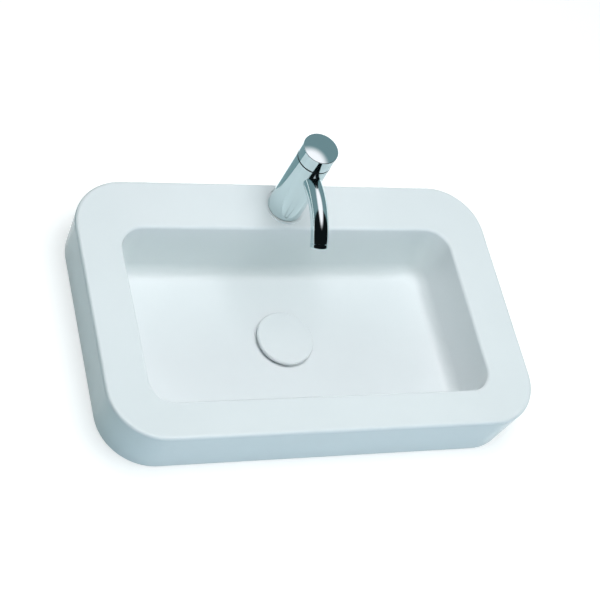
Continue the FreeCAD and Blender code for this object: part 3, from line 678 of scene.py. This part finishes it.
class BASIN_OT_spring(bpy.types.Operator):
    """Model the coil spring under the plug's stem"""

    bl_idname = "basin.spring"
    bl_label = "Model the spring"

    def execute(self, context):
        sizes = context.scene.fitting_sizes
        low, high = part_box("click_spring")
        bottom, top = low[2], high[2]
        wire = sizes.spring_wire / 2
        coil = (high[0] - low[0]) / 2 - wire
        pitch = (top - bottom) / sizes.spring_turns
        piece = begin("coil_spring", bpy.ops.mesh.primitive_circle_add, vertices=WIRE_SIDES, radius=wire)
        bpy.ops.transform.rotate(value=math.pi / 2, orient_axis="X", center_override=(0.0, 0.0, 0.0))
        bpy.ops.transform.translate(value=(coil, 0.0, bottom - LEAD_TURNS * pitch))
        sweep_up(piece, bottom, top, pitch)
        fit(piece, "click_spring", "fixing_steel")
        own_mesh(piece)
        return {"FINISHED"}


class BASIN_OT_glaze(bpy.types.Operator):
    """Glaze the basin and the drain's cover"""

    bl_idname = "basin.glaze"
    bl_label = "Glaze the basin"

    def execute(self, context):
        dress(glaze_finish(context.scene.basin_glaze), "basin", "plug_cover")
        return {"FINISHED"}


class BASIN_OT_tap(bpy.types.Operator):
    """Plate the tap and the waste, and finish the tap's inside and all seals"""

    bl_idname = "basin.tap"
    bl_label = "Finish the tap"

    def execute(self, context):
        chrome = chrome_finish(context.scene.tap_metal)
        dress(chrome, "tap_body", "spout", "aerator_housing", "handle_cap", "waste_body")
        brass = turned_finish("turned_brass", BRASS, TAP_AXIS, gloss=0.22)
        dress(brass, "cartridge_nut", "cartridge_stem")
        for name, (colour, bloom, gloss, grains, nodes) in MOULDED.items():
            dress(moulded_finish(name, colour, bloom, gloss, grains), *nodes)
        return {"FINISHED"}


class BASIN_OT_waste(bpy.types.Operator):
    """Finish the brass of the waste and the steel of the fixings"""

    bl_idname = "basin.waste"
    bl_label = "Finish the waste"

    def execute(self, context):
        brass = turned_finish("waste_brass", BRASS, DRAIN_AXIS, gloss=0.25)
        dress(brass, "plug_carrier", "click_stem", "click_housing", "waste_locknut")
        steel = turned_finish("fixing_steel", STEEL, TAP_AXIS, gloss=0.3)
        dress(steel, "fixing_stud", "horseshoe_washer", "fixing_nut", "grub_screw", "click_spring")
        return {"FINISHED"}


def look_at(location, target):
    """A turn that points -Z from a location to a target."""
    return (Vector(target) - Vector(location)).to_track_quat("-Z", "Y").to_euler()


def soft_box(name, location, width, depth, power, colour):
    """A rectangular lamp that points at the basin. Reflections show the tent in its place."""
    bpy.ops.object.light_add(type="AREA", location=location, rotation=look_at(location, LAMP_TARGET))
    lamp = bpy.context.object
    lamp.name = name
    lamp.data.shape = "RECTANGLE"
    lamp.data.size = width
    lamp.data.size_y = depth
    lamp.data.energy = power
    lamp.data.color = colour
    lamp.visible_glossy = False
    lamp.visible_camera = False


def floor_finish():
    """A white floor that keeps the shadow, throws a cool light back, and can be seen through from below."""
    finish = Finish("white_floor")
    seen = finish.seen()
    shade = finish.mix(seen, FLOOR_THROWN, FLOOR_SEEN)
    paper = finish.node("ShaderNodeBsdfDiffuse", inputs={"Color": shade})
    x, y = finish.parts(finish.place())[:2]
    far = ((x * x + y * y) ** 0.5).step(*FLOOR_FAR)
    strength = seen * (NEAR_GLOW + far * FAR_GLOW)
    glow = finish.node("ShaderNodeEmission", inputs={"Color": WHITE, "Strength": strength})
    both = finish.node("ShaderNodeAddShader", inputs={0: paper, 1: glow})
    clear = finish.node("ShaderNodeBsdfTransparent")
    below = finish.node("ShaderNodeNewGeometry", output="Backfacing")
    shown = finish.node("ShaderNodeMixShader", inputs={0: below, 1: both, 2: clear})
    finish.node("ShaderNodeOutputMaterial", inputs={"Surface": shown})
    return finish.owner


def facing(turn, x, y):
    """How far a point lies in front of the basin, with the front turned by an angle."""
    return math.sin(turn) * x - math.cos(turn) * y


def tent_finish(looks):
    """What the chrome sees round it: a black front, grey-green sides and back, and a white top."""
    finish = Finish("studio_tent")
    x, y, z = finish.parts(finish.place())
    flat = (x * x + y * y) ** 0.5
    front = facing(looks.dark_azimuth, x, y) / flat
    across = x * looks.top_stretch
    reach = (across * across + y * y + z * z) ** 0.5
    climb = (math.cos(looks.top_tilt) * z + math.sin(looks.top_tilt) * y) / reach
    dark = (front - climb * DARK_LEAN).step(*DARK_EDGE)
    top = climb.step(math.sin(looks.top_start), math.sin(looks.top_end))
    shade = finish.mix(dark, opaque(looks.room_colour), BLACK)
    shade = finish.mix(top, shade, opaque(looks.top_colour))
    glow = finish.node("ShaderNodeEmission", inputs={"Color": shade, "Strength": 1 + top * TOP_GLOW})
    finish.node("ShaderNodeOutputMaterial", inputs={"Surface": glow})
    return finish.owner


def card_finish(looks):
    """An even grey-green card."""
    finish = Finish("studio_card")
    inputs = {"Color": opaque(looks.room_colour), "Strength": CARD_GLOW}
    glow = finish.node("ShaderNodeEmission", inputs=inputs)
    finish.node("ShaderNodeOutputMaterial", inputs={"Surface": glow})
    return finish.owner


def skirt_finish(looks):
    """The dark floor past the white sheet, left out behind the basin."""
    finish = Finish("studio_skirt")
    x, y = finish.parts(finish.place())[:2]
    front = facing(looks.dark_azimuth, x, y) / (x * x + y * y) ** 0.5
    glow = finish.node("ShaderNodeEmission", inputs={"Color": BLACK})
    clear = finish.node("ShaderNodeBsdfTransparent")
    shown = finish.node("ShaderNodeMixShader", inputs={0: front.step(*DARK_EDGE), 1: clear, 2: glow})
    finish.node("ShaderNodeOutputMaterial", inputs={"Surface": shown})
    return finish.owner


def only_in_gloss(screen):
    """Let a screen of the stage show in reflections alone."""
    screen.visible_camera = False
    screen.visible_diffuse = False
    screen.visible_shadow = False
    screen.visible_transmission = False


class BASIN_OT_stage(bpy.types.Operator):
    """Set up the floor, the light and the camera"""

    bl_idname = "basin.stage"
    bl_label = "Set the stage"

    def execute(self, context):
        looks = context.scene.studio_look
        self.make_floor()
        self.make_tent(looks)
        self.make_card(looks)
        self.make_skirt(looks)
        self.make_world(looks)
        for name, (setting, location, width, depth, colour) in SOFT_BOXES.items():
            soft_box(name, location, width, depth, getattr(looks, setting), colour)
        self.make_camera(looks)
        context.scene.view_settings.view_transform = "Standard"
        return {"FINISHED"}

    def make_floor(self):
        """A wide floor just under the basin's foot, with the cut-out that the bowl sinks through."""
        floor = begin("floor", bpy.ops.mesh.primitive_plane_add, size=1.0, location=(0.0, 0.0, FLOOR_HEIGHT))
        bpy.ops.transform.resize(value=CUT_OUT)
        bpy.ops.mesh.delete(type="ONLY_FACE")
        bpy.ops.mesh.select_all(action="SELECT")
        bpy.ops.mesh.extrude_region_move()
        bpy.ops.transform.resize(value=(FLOOR_REACH / CUT_OUT[0], FLOOR_REACH / CUT_OUT[1], 1.0))
        bpy.ops.mesh.select_all(action="SELECT")
        bpy.ops.mesh.flip_normals()
        bpy.ops.object.mode_set(mode="OBJECT")
        if floor.data.polygons[0].normal.z < 0:
            raise RuntimeError("the floor faces down")
        floor.data.materials.append(floor_finish())

    def make_tent(self, looks):
        """A half globe round the set, open at the bottom, that only shows in reflections."""
        tent = begin("tent", bpy.ops.mesh.primitive_uv_sphere_add, segments=TENT_SIDES,
                     ring_count=TENT_SIDES // 2, radius=TENT_RADIUS)
        bpy.ops.mesh.bisect(plane_co=(0.0, 0.0, TENT_FOOT), plane_no=(0.0, 0.0, 1.0), clear_inner=True)
        bpy.ops.mesh.select_all(action="SELECT")
        bpy.ops.mesh.flip_normals()
        bpy.ops.object.mode_set(mode="OBJECT")
        tent.data.materials.append(tent_finish(looks))
        only_in_gloss(tent)

    def make_card(self, looks):
        """A card on the floor behind the basin's left half, that only shows in reflections."""
        bpy.ops.mesh.primitive_plane_add(size=CARD_SIZE, location=CARD_PLACE)
        card = bpy.context.object
        card.name = "back_card"
        card.data.materials.append(card_finish(looks))
        only_in_gloss(card)

    def make_skirt(self, looks):
        """A ring on the floor, from the white sheet's edge to the tent, that only shows in reflections."""
        skirt = begin("skirt", bpy.ops.mesh.primitive_circle_add, vertices=SKIRT_SIDES, radius=TENT_RADIUS,
                      location=(0.0, 0.0, SKIRT_HEIGHT))
        bpy.ops.mesh.extrude_region_move()
        inner = looks.sheet / TENT_RADIUS
        bpy.ops.transform.resize(value=(inner, inner, 1.0))
        bpy.ops.object.mode_set(mode="OBJECT")
        skirt.data.materials.append(skirt_finish(looks))
        only_in_gloss(skirt)

    def make_world(self, looks):
        """White where the camera looks past the floor, and a pale fill for the rest."""
        world = bpy.data.worlds.new("studio_air")
        bpy.context.scene.world = world
        finish = Finish("studio_air", world)
        seen = finish.seen()
        colour = finish.mix(seen, opaque(looks.fill_colour), WHITE)
        strength = seen + (1 - seen) * looks.fill
        air = finish.node("ShaderNodeBackground", inputs={"Color": colour, "Strength": strength})
        finish.node("ShaderNodeOutputWorld", inputs={"Surface": air})

    def make_camera(self, looks):
        """The photograph's camera."""
        turn, climb, roll = looks.azimuth, looks.elevation, looks.roll
        back = Vector((math.sin(turn) * math.cos(climb), -math.cos(turn) * math.cos(climb), math.sin(climb)))
        level = Vector((math.cos(turn), math.sin(turn), 0.0))
        rise = back.cross(level)
        right = level * math.cos(roll) - rise * math.sin(roll)
        top = level * math.sin(roll) + rise * math.cos(roll)
        place = Vector(looks.aim) + back * looks.distance
        bpy.ops.object.camera_add(location=place)
        camera = bpy.context.object
        camera.name = "photo_camera"
        camera.matrix_world = Matrix((
            (right.x, top.x, back.x, place.x),
            (right.y, top.y, back.y, place.y),
            (right.z, top.z, back.z, place.z),
            (0.0, 0.0, 0.0, 1.0),
        ))
        camera.data.sensor_width = SENSOR_WIDTH
        camera.data.lens = looks.lens
        camera.data.clip_end = VIEW_END
        bpy.context.scene.camera = camera


class BASIN_PT_panel(bpy.types.Panel):
    """The basin's finishes and stage"""

    bl_idname = "BASIN_PT_panel"
    bl_label = "Countertop basin"
    bl_space_type = "VIEW_3D"
    bl_region_type = "UI"
    bl_category = "Basin"

    def draw(self, context):
        scene = context.scene
        for group in (scene.basin_glaze, scene.tap_metal, scene.fitting_sizes, scene.studio_look):
            box = self.layout.box()
            for key in group.__annotations__:
                box.prop(group, key)
        for operator in OPERATORS:
            self.layout.operator(operator.bl_idname)


OPERATORS = (BASIN_OT_glaze, BASIN_OT_tap, BASIN_OT_waste, BASIN_OT_waste_body, BASIN_OT_nuts, BASIN_OT_stud,
             BASIN_OT_spring, BASIN_OT_stage)
CLASSES = (BasinGlaze, TapMetal, FittingSizes, StudioLook, *OPERATORS, BASIN_PT_panel)


def register():
    """Add the classes and their settings."""
    for item in CLASSES:
        bpy.utils.register_class(item)
    bpy.types.Scene.basin_glaze = PointerProperty(type=BasinGlaze)
    bpy.types.Scene.tap_metal = PointerProperty(type=TapMetal)
    bpy.types.Scene.fitting_sizes = PointerProperty(type=FittingSizes)
    bpy.types.Scene.studio_look = PointerProperty(type=StudioLook)


def unregister():
    """Take them out again."""
    for name in ("basin_glaze", "tap_metal", "fitting_sizes", "studio_look"):
        delattr(bpy.types.Scene, name)
    for item in reversed(CLASSES):
        bpy.utils.unregister_class(item)


def main():
    """Run every step."""
    register()
    bpy.ops.object.select_all(action="DESELECT")
    bpy.ops.basin.glaze()
    bpy.ops.basin.tap()
    bpy.ops.basin.waste()
    bpy.ops.basin.waste_body()
    bpy.ops.basin.nuts()
    bpy.ops.basin.stud()
    bpy.ops.basin.spring()
    bpy.ops.basin.stage()
    bpy.context.view_layer.update()


if __name__ == "__main__":
    main()
